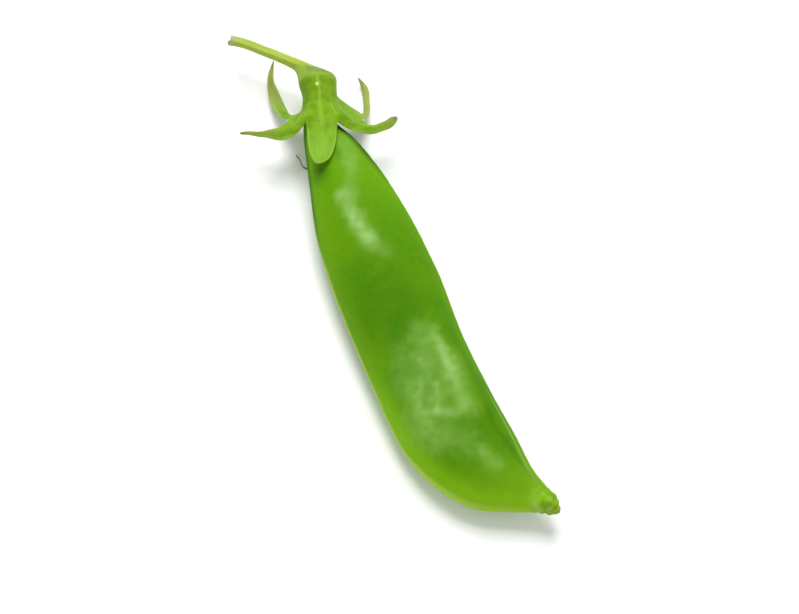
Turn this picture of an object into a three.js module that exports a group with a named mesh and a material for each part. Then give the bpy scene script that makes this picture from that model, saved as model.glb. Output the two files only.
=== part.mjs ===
// A plump snow pea pod as picked, with its calyx and stalk, lying on one broad face.
//
// Units are millimetres and +Z is up. The pod runs along +X from its calyx to its beak.
// Its nearly straight seam is the +Y edge and its bellied seam the -Y edge. The origin is
// on the surface that the pod rests on, under the middle of the whole piece.

import * as THREE from 'three';
import { LoftGeometry } from 'three/addons/geometries/LoftGeometry.js';

// ---- Driving dimensions --------------------------------------------------------------

// Stations along the pod, from the neck inside the calyx to the blunt end of the beak.
// Each is [straight seam x, y, bellied seam x, y, half thickness], from the calyx mouth.
const POD_STATIONS = [
  [-5.4, 3.3, -6.4, 1.4, 1.1],
  [-2.4, 2.5, -4.2, -0.7, 1.7],
  [2.2, 1.8, -0.6, -3.5, 2.3],
  [6.6, 3.1, 5.0, -6.3, 3.3],
  [14.5, 4.1, 13.5, -9.9, 4.3],
  [25.0, 4.2, 25.0, -13.3, 4.9],
  [37.3, 3.1, 37.5, -15.5, 5.25],
  [49.0, 1.1, 50.0, -17.1, 5.35],
  [60.5, 0.1, 62.5, -18.0, 5.2],
  [69.5, -0.2, 70.3, -16.2, 4.4],
  [75.5, -0.6, 75.9, -12.8, 3.4],
  [79.0, -0.1, 79.6, -7.8, 2.4],
  [81.6, 0.5, 82.0, -3.9, 1.7],
  [83.9, -0.3, 83.6, -1.9, 1.2],
];

const POD_ROWS = 46; // lengthwise rows of the pod's skin
const POD_SIDES = 32; // points round each section
const LENS_POWER = 1.3; // above 1 pinches the section to an edge at the two seams

const PEA_COUNT = 6;
const PEA_FIRST = 14.5; // x of the first pea
const PEA_PITCH = 12; // from one pea to the next
const PEA_SPREAD = 4.6; // reach of the swelling over each pea
const PEA_SWELL = 0.35; // height of that swelling on each face
const PEA_OFFSET = 0.12; // peas hang nearer the straight seam, as a share of half width

const GAP = 0.3; // clearance between neighbouring pieces

// The calyx is a short cup, bent over from the pod's own line, with five sepals on its rim.
// The cup's own axes are x to the bellied side, y from its foot towards the pod, and z up.
const CALYX_BEND = 29; // degrees between the cup's axis and the pod
const CUP_DEPTH = 8.3; // cup's foot to the calyx mouth, along the cup's axis
const CUP_SHIFT = 0.8; // the cup sits off the pod's line, to the bellied side
const CUP_RIM = 6.2; // foot to rim
const CUP_RADIUS = 3.3;
const CUP_FLARE = 0.25; // extra radius at the rim
const CUP_WALL = 0.55;
const CUP_FLOOR = 1.6; // solid foot under the hollow
const CUP_SIDES = 28;

// Sepal centre lines in the cup's axes, with y counted from the rim. Each point is
// [x, y, z, width]. Azimuth turns from straight up towards the bellied side, and twist
// turns the blade about its length on its way to the tip.
const SEPALS = {
  sepal_front: {
    azimuth: 0,
    twist: 0,
    path: [
      [0.0, 0.0, 3.4, 3.6],
      [-0.6, 3.4, 4.2, 5.1],
      [-0.6, 8.2, 4.9, 5.0],
      [-0.3, 11.4, 5.1, 3.9],
      [0.0, 13.1, 5.0, 1.6],
    ],
  },
  sepal_left_lower: {
    azimuth: 72,
    twist: 55,
    path: [
      [3.3, 0.0, 1.1, 3.4],
      [4.4, 3.3, 1.7, 4.0],
      [6.8, 4.9, 1.3, 3.2],
      [9.8, 5.3, 0.6, 1.6],
      [14.0, 5.0, 0.2, 0.5],
    ],
  },
  sepal_left_upper: {
    azimuth: 140,
    twist: 30,
    path: [
      [2.2, 0.0, -2.6, 3.3],
      [4.9, 0.4, -4.2, 3.3],
      [7.5, -2.8, -6.1, 2.8],
      [8.8, -7.4, -7.0, 2.0],
      [8.5, -13.4, -6.2, 0.5],
    ],
  },
  sepal_right: {
    azimuth: -72,
    twist: -55,
    path: [
      [-3.3, 0.0, 1.1, 3.6],
      [-5.2, 2.9, 1.8, 4.2],
      [-8.4, 4.6, 1.3, 2.2],
      [-11.4, 4.5, 0.9, 1.8],
      [-14.0, 2.8, 1.7, 1.3],
    ],
  },
  sepal_right_upper: {
    azimuth: -140,
    twist: -30,
    path: [
      [-2.2, 0.0, -2.6, 3.3],
      [-4.6, 0.7, -3.9, 3.3],
      [-7.8, -0.7, -5.7, 2.3],
      [-8.5, -5.1, -7.1, 1.8],
      [-7.7, -9.5, -6.6, 0.6],
    ],
  },
};
const SEPAL_THICKNESS = 0.55;
const SEPAL_EDGE = 0.25; // thickness at the margins
const SEPAL_CUPPING = 0.16; // rise of the blade's middle as a share of its width
const SEPAL_ROWS = 14;
const SEPAL_COLUMNS = 7; // points across each face

// Stations along the stalk in the cup's axes, from the cup's foot to the cut end. Each is
// [outer edge x, y, inner edge x, y, middle z, half depth].
const STALK_STATIONS = [
  [-3.1, 0.0, 3.3, 0.0, 0.0, 2.9],
  [-1.3, -1.0, 3.9, -0.9, 0.0, 2.2],
  [1.2, -2.3, 4.5, -1.7, 0.0, 1.6],
  [4.6, -4.0, 5.9, -2.6, 0.1, 1.05],
  [9.3, -6.2, 10.0, -4.6, 0.0, 0.92],
  [13.3, -8.1, 14.0, -6.5, -0.4, 0.9],
  [15.8, -9.0, 16.5, -7.2, -0.6, 1.0],
];
const STALK_ROWS = 20;
const STALK_SIDES = 14;

// Withered stamen thread in the cup's axes, from inside the mouth to its free end.
const STAMEN = [
  [1.2, 7.4, -2.85],
  [1.2, 11.4, -3.9],
  [1.2, 15.2, -4.6],
  [2.3, 16.4, -4.0],
  [3.9, 14.1, -3.0],
];
const STAMEN_RADIUS = 0.2;
const STAMEN_TAPER = 0.4; // share of the radius lost at the free end
const STAMEN_ROWS = 20;
const STAMEN_SIDES = 7;

// Attitude at rest: the belly bears on the surface and two sepals hold the calyx end up.
const POD_ROLL = 5.5; // degrees that the pod's bellied seam is turned down from the calyx
const REST_PITCH = 1.545; // degrees that the calyx end is raised
const REST_ROLL = 0.75; // degrees that the whole plant leans to the bellied side
const BELLY_FLAT = 0.2; // depth of the flat where the belly bears

// ---- Materials -----------------------------------------------------------------------

function material(color, roughness) {
  return new THREE.MeshStandardMaterial({ color, roughness, metalness: 0 });
}

const podSkin = () => material(0x5f960a, 0.42);
const calyxLeaf = () => material(0x8cbe32, 0.6);
const stalkRind = () => material(0xaac832, 0.55);
const driedThread = () => material(0x6e6450, 0.85);

// ---- Pod -----------------------------------------------------------------------------

// Height of the swelling that the peas raise at lengthwise place x and cross place s,
// where s runs from -1 at the bellied seam to 1 at the straight one.
function peaSwelling(x, s, halfWidth) {
  let height = 0;
  for (let i = 0; i < PEA_COUNT; i += 1) {
    const along = x - PEA_FIRST - i * PEA_PITCH;
    const across = (s - PEA_OFFSET) * halfWidth;
    height += PEA_SWELL * Math.exp(-(along ** 2 + across ** 2) / PEA_SPREAD ** 2);
  }
  return height;
}

// A ring of points hung between two edges. Power 1 gives an ellipse, and more a lens.
function ring(edge, otherEdge, halfDepth, sides, power = 1, swelling = () => 0) {
  const centre = edge.clone().add(otherEdge).multiplyScalar(0.5);
  const half = edge.clone().sub(otherEdge).multiplyScalar(0.5);
  const points = [];
  for (let i = 0; i < sides; i += 1) {
    const angle = (i / sides) * Math.PI * 2;
    const s = Math.cos(angle);
    const bulge = Math.sign(Math.sin(angle)) * Math.abs(Math.sin(angle)) ** power;
    const point = centre.clone().addScaledVector(half, s);
    point.z += bulge * (halfDepth + swelling(point.x, s, half.length()));
    points.push(point);
  }
  return points;
}

function podGeometry() {
  const straight = new THREE.CatmullRomCurve3(POD_STATIONS.map((p) => new THREE.Vector3(p[0], p[1], 0)));
  const belly = new THREE.CatmullRomCurve3(POD_STATIONS.map((p) => new THREE.Vector3(p[2], p[3], 0)));
  const thickness = new THREE.SplineCurve(POD_STATIONS.map((p, i) => new THREE.Vector2(i, p[4])));
  const sections = [];
  for (let row = 0; row <= POD_ROWS; row += 1) {
    const t = row / POD_ROWS;
    const halfThickness = thickness.getPoint(t).y;
    const edges = [straight.getPoint(t), belly.getPoint(t)];
    sections.push(ring(...edges, halfThickness, POD_SIDES, LENS_POWER, peaSwelling));
  }
  return new LoftGeometry(sections, { closed: true, capStart: true, capEnd: true });
}

// ---- Calyx ---------------------------------------------------------------------------

// The cup is turned: its profile runs up the outside from the foot, over the rim and
// down the inside to the solid floor.
function cupGeometry() {
  const inside = CUP_RADIUS - CUP_WALL;
  const waist = CUP_RIM * 0.6;
  const profile = [
    [0, 0],
    [CUP_RADIUS * 0.7, 0],
    [CUP_RADIUS * 0.94, 0.5],
    [CUP_RADIUS, 1.4],
    [CUP_RADIUS, waist],
    [CUP_RADIUS + CUP_FLARE, CUP_RIM],
    [inside + CUP_FLARE, CUP_RIM],
    [inside, waist],
    [inside * 0.9, CUP_FLOOR + 0.6],
    [inside * 0.55, CUP_FLOOR],
    [0, CUP_FLOOR],
  ];
  return new THREE.LatheGeometry(profile.map(([r, y]) => new THREE.Vector2(r, y)), CUP_SIDES);
}

// A thin boat-shaped blade along its centre line.
function sepalGeometry({ azimuth, twist, path }) {
  const centreLine = new THREE.CatmullRomCurve3(path.map((p) => new THREE.Vector3(p[0], p[1], p[2])));
  const widths = new THREE.SplineCurve(path.map((p, i) => new THREE.Vector2(i, p[3])));
  const turn = THREE.MathUtils.degToRad(azimuth);
  const across = new THREE.Vector3(-Math.cos(turn), 0, Math.sin(turn));
  const sections = [];
  for (let row = 0; row <= SEPAL_ROWS; row += 1) {
    const t = row / SEPAL_ROWS;
    const centre = centreLine.getPoint(t);
    const along = centreLine.getTangent(t);
    const side = across.clone().addScaledVector(along, -across.dot(along)).normalize();
    side.applyAxisAngle(along, THREE.MathUtils.degToRad(twist) * THREE.MathUtils.smoothstep(t, 0.1, 0.9));
    const outward = new THREE.Vector3().crossVectors(along, side);
    sections.push(bladeSection(centre, side, outward, widths.getPoint(t).y));
  }
  return new LoftGeometry(sections, { closed: true, capStart: true, capEnd: true });
}

function bladeSection(centre, side, outward, width) {
  const points = [];
  for (const face of [1, -1]) {
    for (let column = 0; column < SEPAL_COLUMNS; column += 1) {
      const v = face * (1 - (2 * column) / (SEPAL_COLUMNS - 1));
      const skin = SEPAL_EDGE + (SEPAL_THICKNESS - SEPAL_EDGE) * (1 - v * v);
      const rise = -SEPAL_CUPPING * width * v * v + (face * skin) / 2;
      points.push(centre.clone().addScaledVector(side, (v * width) / 2).addScaledVector(outward, rise));
    }
  }
  return points;
}

// ---- Stalk and stamen ----------------------------------------------------------------

function stalkGeometry() {
  const outer = new THREE.CatmullRomCurve3(STALK_STATIONS.map((p) => new THREE.Vector3(p[0], p[1], p[4])));
  const inner = new THREE.CatmullRomCurve3(STALK_STATIONS.map((p) => new THREE.Vector3(p[2], p[3], p[4])));
  const depth = new THREE.SplineCurve(STALK_STATIONS.map((p, i) => new THREE.Vector2(i, p[5])));
  const sections = [];
  for (let row = 0; row <= STALK_ROWS; row += 1) {
    const t = row / STALK_ROWS;
    sections.push(ring(inner.getPoint(t), outer.getPoint(t), depth.getPoint(t).y, STALK_SIDES));
  }
  return new LoftGeometry(sections, { closed: true, capStart: true, capEnd: true });
}

// The thread is round and thins towards its free end.
function stamenGeometry() {
  const thread = new THREE.CatmullRomCurve3(STAMEN.map((p) => new THREE.Vector3(...p)));
  const up = new THREE.Vector3(0, 0, 1);
  const sections = [];
  for (let row = 0; row <= STAMEN_ROWS; row += 1) {
    const t = row / STAMEN_ROWS;
    const radius = STAMEN_RADIUS * (1 - STAMEN_TAPER * t);
    const along = thread.getTangent(t);
    const side = new THREE.Vector3().crossVectors(up, along).normalize();
    const lift = new THREE.Vector3().crossVectors(along, side);
    const points = [];
    for (let i = 0; i < STAMEN_SIDES; i += 1) {
      const angle = (i / STAMEN_SIDES) * Math.PI * 2;
      const point = thread.getPoint(t).addScaledVector(side, radius * Math.cos(angle));
      points.push(point.addScaledVector(lift, radius * Math.sin(angle)));
    }
    sections.push(points);
  }
  return new LoftGeometry(sections, { closed: true, capStart: true, capEnd: true });
}

// ---- Assembly ------------------------------------------------------------------------

function piece(name, geometry, look) {
  const mesh = new THREE.Mesh(geometry, look);
  mesh.name = name;
  return mesh;
}

function podPiece() {
  const pod = piece('pod', podGeometry(), podSkin());
  pod.rotation.x = THREE.MathUtils.degToRad(POD_ROLL);
  return pod;
}

// The group's +y points from the cup's foot to the pod, and its +z stays up.
function calyxGroup() {
  const calyx = new THREE.Group();
  calyx.add(piece('calyx_cup', cupGeometry(), calyxLeaf()));
  for (const [name, shape] of Object.entries(SEPALS)) {
    const sepal = piece(name, sepalGeometry(shape), calyxLeaf());
    sepal.position.y = CUP_RIM + GAP;
    calyx.add(sepal);
  }
  const stalk = piece('stalk', stalkGeometry(), stalkRind());
  stalk.position.y = -GAP;
  calyx.add(stalk);
  calyx.add(piece('withered_stamen', stamenGeometry(), driedThread()));

  const bend = THREE.MathUtils.degToRad(CALYX_BEND);
  calyx.rotation.z = -Math.PI / 2 - bend;
  calyx.position.set(-CUP_DEPTH, -CUP_SHIFT, 0).applyAxisAngle(new THREE.Vector3(0, 0, 1), -bend);
  return calyx;
}

// Presses a mesh's lowest points up to one level, which leaves a small flat to rest on.
function flattenUnderside(mesh, depth) {
  const points = mesh.geometry.attributes.position;
  const level = new THREE.Box3().setFromObject(mesh, true).min.z + depth;
  for (let i = 0; i < points.count; i += 1) {
    const point = new THREE.Vector3().fromBufferAttribute(points, i).applyMatrix4(mesh.matrixWorld);
    point.z = Math.max(point.z, level);
    mesh.worldToLocal(point);
    points.setXYZ(i, point.x, point.y, point.z);
  }
}

// Tilts the plant as it rests, flattens the belly where it bears, and moves the whole so
// that the origin is on the surface under its middle.
function layDown(plant, pod) {
  const [roll, pitch] = [REST_ROLL, REST_PITCH].map(THREE.MathUtils.degToRad);
  plant.rotation.set(roll, pitch, 0, 'YXZ');
  plant.updateMatrixWorld(true);
  flattenUnderside(pod, BELLY_FLAT);
  const box = new THREE.Box3().setFromObject(plant, true);
  const middle = box.getCenter(new THREE.Vector3());
  plant.position.set(-middle.x, -middle.y, -box.min.z);
}

const pod = podPiece();
const plant = new THREE.Group();
plant.add(pod, calyxGroup());
layDown(plant, pod);

const model = new THREE.Group();
model.name = 'snow_pea_pod';
model.add(plant);

export default model;
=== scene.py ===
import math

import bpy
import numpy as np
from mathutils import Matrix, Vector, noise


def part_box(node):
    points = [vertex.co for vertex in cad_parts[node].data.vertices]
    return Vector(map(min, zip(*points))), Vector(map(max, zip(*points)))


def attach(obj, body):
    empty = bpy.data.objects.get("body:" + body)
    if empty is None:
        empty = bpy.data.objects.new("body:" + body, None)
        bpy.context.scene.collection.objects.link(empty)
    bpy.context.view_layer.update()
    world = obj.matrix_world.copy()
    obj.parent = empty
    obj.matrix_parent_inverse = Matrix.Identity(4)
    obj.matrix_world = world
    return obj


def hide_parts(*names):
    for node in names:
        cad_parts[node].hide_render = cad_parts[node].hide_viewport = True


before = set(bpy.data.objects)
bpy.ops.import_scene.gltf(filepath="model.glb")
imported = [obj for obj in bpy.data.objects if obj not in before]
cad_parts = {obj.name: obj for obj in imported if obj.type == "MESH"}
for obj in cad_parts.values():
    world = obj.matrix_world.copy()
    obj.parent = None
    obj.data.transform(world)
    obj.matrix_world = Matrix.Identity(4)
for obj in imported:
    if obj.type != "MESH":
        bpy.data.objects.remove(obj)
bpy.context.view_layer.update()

# A plump snow pea pod as picked, with its calyx, its stalk and one withered stamen, lying on a pale
# table. Each piece is laid out in millimetres in the plant's own axes: +x runs along the pod from the
# calyx mouth to the beak, +y is the side of the straight seam and +z is up. It is then tilted as the
# plant rests and moved to the place that the frame holds for it, in metres.

# ---- Pod ---------------------------------------
# The pod is one fleshy green fruit: two walls that meet along a straight seam, where the peas hang,
# and along a bellied seam. It narrows to a neck inside the calyx, and ends in a puckered beak.

MM = 0.001

# Stations from the neck to the end of the beak, each
# [straight seam x, y, bellied seam x, y, half thickness].
POD_STATIONS = [
    [-5.4, 3.3, -6.4, 1.4, 1.1],
    [-2.4, 2.5, -4.2, -0.7, 1.7],
    [2.2, 1.8, -0.6, -3.5, 2.3],
    [6.6, 3.1, 5.0, -6.3, 3.3],
    [14.5, 4.1, 13.5, -9.9, 4.3],
    [25.0, 4.2, 25.0, -13.3, 4.9],
    [37.3, 3.1, 37.5, -15.5, 5.25],
    [49.0, 1.1, 50.0, -17.1, 5.35],
    [60.5, 0.1, 62.5, -18.0, 5.2],
    [69.5, -0.2, 70.3, -16.2, 4.4],
    [75.5, -0.6, 75.9, -12.8, 3.4],
    [79.0, -0.1, 79.6, -7.8, 2.4],
    [81.6, 0.5, 82.0, -3.9, 1.7],
    [83.9, -0.3, 83.6, -1.9, 1.2],
]
PLAIN_ROWS = 46  # the frame's own pod has this many rows and sides
PLAIN_SIDES = 32
POD_ROWS = 460
POD_SIDES = 200
MIDDLE_ROWS = 1.2  # rows stand this much closer, as a share, along the middle, where most marks lie
FACE_FLATNESS = 1.8  # added to a section's fullness where the broad face is flattest
FLATTEST = [0.58, 0.17]  # where that is and how far it reaches, as shares of the pod's length
EDGE_PINCH = 0.65  # how sharply a section closes to its seams: 0.5 would be an ellipse
FINE_STEPS = 400  # steps for measuring along a curve

PEA_COUNT = 6
PEA_FIRST = 14.5
PEA_PITCH = 12
PEA_SPREAD = 4.6
PEA_SWELL = 0.35
PEA_OFFSET = 0.12  # peas hang nearer the straight seam, as a share of half width

POD_ROLL = 5.5  # degrees that the bellied seam is turned down
REST_PITCH = 1.545  # degrees that the calyx end is raised
REST_ROLL = 0.75  # degrees that the whole plant leans to the bellied side


def through(points, shares):
    """The smooth curve through the points, at shares of its length counted in points."""
    p = np.array(points, float)
    p = np.vstack([2 * p[0] - p[1], p, 2 * p[-1] - p[-2]])
    place = shares * (len(points) - 1)
    first = np.minimum(place.astype(int), len(points) - 2)
    w = (place - first)[:, None]
    a, b, c, d = [p[first + k] for k in range(4)]
    ab, bc, cd = [np.linalg.norm(v - u, axis=1)[:, None] ** 0.5 for u, v in ((a, b), (b, c), (c, d))]
    leaving = ((b - a) / ab - (c - a) / (ab + bc) + (c - b) / bc) * bc
    arriving = ((c - b) / bc - (d - b) / (bc + cd) + (d - c) / cd) * bc
    bend = 3 * (c - b) - 2 * leaving - arriving
    return b + leaving * w + bend * w**2 + (leaving + arriving - 2 * (c - b)) * w**3


def eased(values, shares):
    """A size that changes smoothly through the values, evenly spaced from share 0 to 1."""
    v = np.array(values, float)
    place = shares * (len(v) - 1)
    first = np.minimum(place.astype(int), len(v) - 2)
    w = place - first
    a, b, c, d = [v[np.clip(first + k, 0, len(v) - 1)] for k in (-1, 0, 1, 2)]
    leaving, arriving = (c - a) / 2, (d - b) / 2
    bend = 3 * (c - b) - 2 * leaving - arriving
    return b + leaving * w + bend * w**2 + (leaving + arriving - 2 * (c - b)) * w**3


def smooth(value, low, high):
    """0 below low, 1 above high, and an even ease between them."""
    w = np.clip((value - low) / (high - low), 0, 1)
    return w * w * (3 - 2 * w)


def hump(distance, reach):
    """A rounded bump, 1 at distance 0 and nearly gone at twice the reach."""
    return np.exp(-((distance / reach) ** 2))


def pea_swelling(along, across):
    """How far the peas raise the plain skin, at a place in mm along the pod and off the middle."""
    peas = [PEA_FIRST + pea * PEA_PITCH for pea in range(PEA_COUNT)]
    return sum(PEA_SWELL * hump(np.hypot(along - pea, across), PEA_SPREAD) for pea in peas)


def pod_skin(shares, turns, fullness, swelling):
    """Rings of the pod's skin. Fullness 2 rounds a section evenly, and more flattens its face."""
    straight = through([[p[0], p[1], 0] for p in POD_STATIONS], shares)[:, None]
    bellied = through([[p[2], p[3], 0] for p in POD_STATIONS], shares)[:, None]
    thickness = eased([p[4] for p in POD_STATIONS], shares)[:, None]
    s = np.cos(turns)[None]
    skin = (straight + bellied) / 2 + (straight - bellied) / 2 * s[..., None]
    half_width = np.linalg.norm(straight - bellied, axis=2) / 2
    raised = thickness + swelling(skin[..., 0], (s - PEA_OFFSET) * half_width)
    dome = np.clip(1 - np.abs(s) ** fullness, 0, 1) ** EDGE_PINCH
    skin[..., 2] = np.sign(np.sin(turns)) * dome * raised
    return skin


def turn(axis, degrees):
    """The matrix of a turn about one axis."""
    return np.array(Matrix.Rotation(math.radians(degrees), 3, axis))


AS_IT_RESTS = turn("Y", REST_PITCH) @ turn("X", REST_ROLL)
POD_TURN = AS_IT_RESTS @ turn("X", POD_ROLL)
plain_turns = np.arange(PLAIN_SIDES) / PLAIN_SIDES * 2 * math.pi
plain = pod_skin(np.linspace(0, 1, PLAIN_ROWS + 1), plain_turns, 2, pea_swelling) @ POD_TURN.T
PLACE = np.array(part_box("pod")[1]) / MM - plain.reshape(-1, 3).max(0)


def rough(points, grain, seed):
    """A smooth random height between -1 and 1 at each point, in lumps about grain mm across."""
    flat = points.reshape(-1, 3) / grain + seed * 17.3
    return np.array([noise.noise(Vector(p)) for p in flat]).reshape(points.shape[:-1])


def outward(rings):
    """The direction out of the skin at each point of closed rings."""
    around = np.roll(rings, -1, 1) - np.roll(rings, 1, 1)
    along = np.gradient(rings, axis=0)
    out = np.cross(around, along)
    return out / (np.linalg.norm(out, axis=2, keepdims=True) + 1e-9)


def girth(rings):
    """Distance round each ring from its first point, in mm."""
    steps = np.linalg.norm(np.roll(rings, -1, 1) - rings, axis=2)
    return np.cumsum(steps, 1) - steps, steps.sum(1)[:, None]


def put(name, data):
    """Puts a new object in the scene."""
    made = bpy.data.objects.new(name, data)
    bpy.context.scene.collection.objects.link(made)
    return made


def closed_mesh(name, rings, turned, paint):
    """A closed smooth mesh through the rings, which ends in a point in the middle of the first and of
    the last. Paint holds a number for each ring point, for the material."""
    rows, sides = rings.shape[:2]
    points = np.vstack([rings.reshape(-1, 3), rings[0].mean(0), rings[-1].mean(0)]) @ turned.T + PLACE
    points[:, 2] = np.maximum(points[:, 2], 0)
    here = np.arange(rows * sides).reshape(rows, sides)
    beside = np.roll(here, -1, 1)
    walls = np.stack([here[:-1], beside[:-1], beside[1:], here[1:]], 2).reshape(-1, 4)
    foot = [(rows * sides, b, a) for a, b in zip(here[0], beside[0])]
    head = [(rows * sides + 1, a, b) for a, b in zip(here[-1], beside[-1])]
    mesh = bpy.data.meshes.new(name)
    mesh.from_pydata((points * MM).tolist(), [], walls.tolist() + foot + head)
    for label, values in paint.items():
        values = np.broadcast_to(values, (rows, sides))
        values = np.concatenate([values.ravel(), [values[0].mean(), values[-1].mean()]])
        mesh.attributes.new(label, "FLOAT", "POINT").data.foreach_set("value", values.astype(np.float32))
    mesh.polygons.foreach_set("use_smooth", [True] * len(mesh.polygons))
    mesh.update()
    return put(name, mesh)


# The seams are welts: twin lips with a furrow on the straight side, a single cord on the bellied one.
STRAIGHT_WELT = 0.26
STRAIGHT_WELT_REACH = 0.8
FURROW = 0.16
FURROW_REACH = 0.22
BELLIED_WELT = 0.2
BELLIED_WELT_REACH = 0.5
TROUGH = 0.07  # depth of the hollow beside each welt
STRAIGHT_TROUGH = [1.9, 0.7]  # mm from the seam, and its reach
BELLIED_TROUGH = [1.5, 0.6]
SEAM_SHOULDER = 0.15  # how far the wall falls towards each seam
SEAM_SHOULDER_REACH = 3.0
NECK_HOLLOW = 0.35  # how far the bellied edge draws in where it leaves the calyx
NECK_HOLLOW_AT = [10, 6]  # mm along the pod, and its reach
WAVES = 0.12  # height of the skin's broad waves, 9 mm across
RIPPLES = 0.035  # height of the finer ones, 3.5 mm across
# Neighbouring peas lift the skin together in broad low swells, each [along, off middle, rise,
# reach along, reach across].
SWELLS = [
    [24.0, 0.0, 0.32, 10.0, 5.5],
    [54.5, 0.5, 0.42, 10.0, 7.5],
    [72.0, 1.0, 0.3, 4.0, 4.0],
]
# Where handling wore the dull bloom off, the skin is glossy, and its colour is painted pale there as
# painted highlights: soft-edged strokes on each face, each [from x, y, to x, y, half width, strength].
GLOSS_AND_HIGHLIGHT_STROKES = [
    [6.5, 1.2, 11.5, 0.0, 1.9, 0.55],
    [11.5, -0.2, 17.5, -3.4, 1.6, 0.5],
    [16.2, -5.4, 17.2, -5.0, 0.9, 0.5],
    [17.5, -4.3, 22.5, -4.6, 1.5, 0.75],
    [22.0, -4.7, 26.8, -4.7, 1.8, 0.88],
    [27.0, -4.4, 29.6, -3.5, 1.7, 0.42],
    [46.5, -3.4, 55.0, -3.8, 1.5, 0.8],
    [53.5, -4.0, 60.5, -5.0, 2.2, 0.68],
    [45.0, -5.2, 49.5, -6.4, 2.0, 0.42],
    [50.5, -7.6, 59.0, -8.8, 3.2, 0.62],
    [54.0, -11.8, 58.0, -12.8, 2.8, 0.7],
    [46.5, -10.5, 51.0, -12.5, 2.2, 0.28],
    [61.5, -13.0, 66.0, -8.5, 2.9, 0.52],
    [61.0, -14.0, 64.0, -12.8, 2.2, 0.4],
    [69.5, -6.6, 72.0, -5.7, 1.7, 0.65],
]
# Darker skin in a broad patch mid-pod, by the straight seam and before the beak, and painted shadow
# under the front sepal's tip and along its right edge, each [x, y, reach along, reach across, strength].
DARK_AND_SHADOWED = [
    [39.0, -7.5, 7.5, 6.5, 1.0],
    [10.6, -5.8, 2.8, 2.2, 0.9],
    [8.0, -1.2, 2.2, 0.8, 0.9],
    [60.0, -0.8, 7.0, 1.3, 0.9],
    [78.2, -3.8, 2.2, 2.4, 1.0],
]
# Fine pale lines of painted highlight within the glossy patches, laid out as the strokes are.
HIGHLIGHT_LINES = [
    [44.6, -6.2, 49.0, -11.4, 1.3, 0.16],
    [55.4, -7.4, 59.3, -9.7, 0.7, 0.45],
    [53.0, -9.4, 57.2, -11.9, 0.7, 0.3],
    [58.2, -12.6, 60.6, -8.4, 0.8, 0.4],
    [61.0, -7.4, 62.6, -4.4, 0.8, 0.4],
    [50.0, -3.8, 60.6, -5.2, 1.1, 0.35],
    [18.5, -5.0, 26.5, -5.3, 0.9, 0.45],
    [24.5, -4.3, 27.0, -4.0, 1.0, 0.5],
    [79.2, -2.6, 81.4, -4.2, 0.8, 0.6],
]
VEIN_PITCH = 2.1
VEIN_RISE = 0.02
VEIN_WOBBLE = 0.6
VEIN_LEANS = ((0.85, 1), (-0.6, 0.7))  # each set of veins' lean and share of the rise
BEAK_END = 83.8
PUCKER_PITCH = [1.3, 1.7]  # mm between puckers along the pod, and round it
PUCKER_DEPTH = 0.1
PUCKER_REACH = [2.4, 4.9]  # mm back from the tip, on the belly and beside the straight seam


def full_swelling(along, across):
    """The peas' own lumps, half sunk in the broad swells that they raise together."""
    height = 0.5 * pea_swelling(along, across)
    for place, offset, rise, reach, breadth in SWELLS:
        height = height + rise * np.exp(-(((along - place) / reach) ** 4)) * hump(across - offset, breadth)
    return height


turns = np.arange(POD_SIDES) / POD_SIDES * 2 * math.pi
even = np.linspace(0, 1, FINE_STEPS)
crowding = 1 + MIDDLE_ROWS * smooth(even, 0.25, 0.4) * (1 - smooth(even, 0.6, 0.75))
shares = np.interp(np.linspace(0, 1, POD_ROWS), np.cumsum(crowding) / crowding.sum(), even)
shares[[0, -1]] = [0, 1]
fullness = 2 + FACE_FLATNESS * hump(shares[:, None] - FLATTEST[0], FLATTEST[1])
skin = pod_skin(shares, turns, fullness, full_swelling)
around, whole = girth(skin)
to_straight = np.minimum(around, whole - around)
to_bellied = np.abs(around - around[:, POD_SIDES // 2][:, None])
to_beak = BEAK_END - skin[..., 0]
along = skin[..., 0]

# Welts, veins and waves fade out in the neck and at the beak, where the skin puckers instead.
firm = smooth(to_beak, 1, 7) * smooth(along, -4, 6)
relief = firm * STRAIGHT_WELT * hump(to_straight, STRAIGHT_WELT_REACH)
relief -= firm * FURROW * hump(to_straight, FURROW_REACH)
relief += firm * BELLIED_WELT * hump(to_bellied, BELLIED_WELT_REACH)
troughs = hump(to_straight - STRAIGHT_TROUGH[0], STRAIGHT_TROUGH[1])
troughs = troughs + hump(to_bellied - BELLIED_TROUGH[0], BELLIED_TROUGH[1])
relief -= firm * TROUGH * troughs
shoulders = hump(to_straight, SEAM_SHOULDER_REACH) + hump(to_bellied, SEAM_SHOULDER_REACH)
relief -= firm * SEAM_SHOULDER * shoulders
relief -= NECK_HOLLOW * hump(to_bellied, 3.5) * hump(along - NECK_HOLLOW_AT[0], NECK_HOLLOW_AT[1])
wobble = VEIN_WOBBLE * rough(skin, 5, 3)
for lean, share in VEIN_LEANS:
    phase = (along + lean * to_straight + wobble) / VEIN_PITCH * 2 * math.pi
    relief += firm * share * VEIN_RISE * (0.5 + 0.5 * np.cos(phase)) ** 3
relief += firm * (WAVES * rough(skin, 9, 1) + RIPPLES * rough(skin, 3.5, 2))
pucker_reach = np.clip(PUCKER_REACH[1] - 0.42 * to_straight, PUCKER_REACH[0], PUCKER_REACH[1])
pucker = np.exp(-((to_beak / pucker_reach) ** 2)) * PUCKER_DEPTH
crinkle = 1.6 * rough(skin, 1.6, 4)
relief += pucker * np.sin((to_beak + 0.35 * to_straight) / PUCKER_PITCH[0] * 2 * math.pi + crinkle)
relief += pucker * 0.6 * np.sin(around / PUCKER_PITCH[1] * 2 * math.pi + 2.5 * rough(skin, 2.2, 5))
relief += pucker * 0.9 * rough(skin, 1.1, 9)
skin = skin + outward(skin) * relief[..., None]


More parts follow.
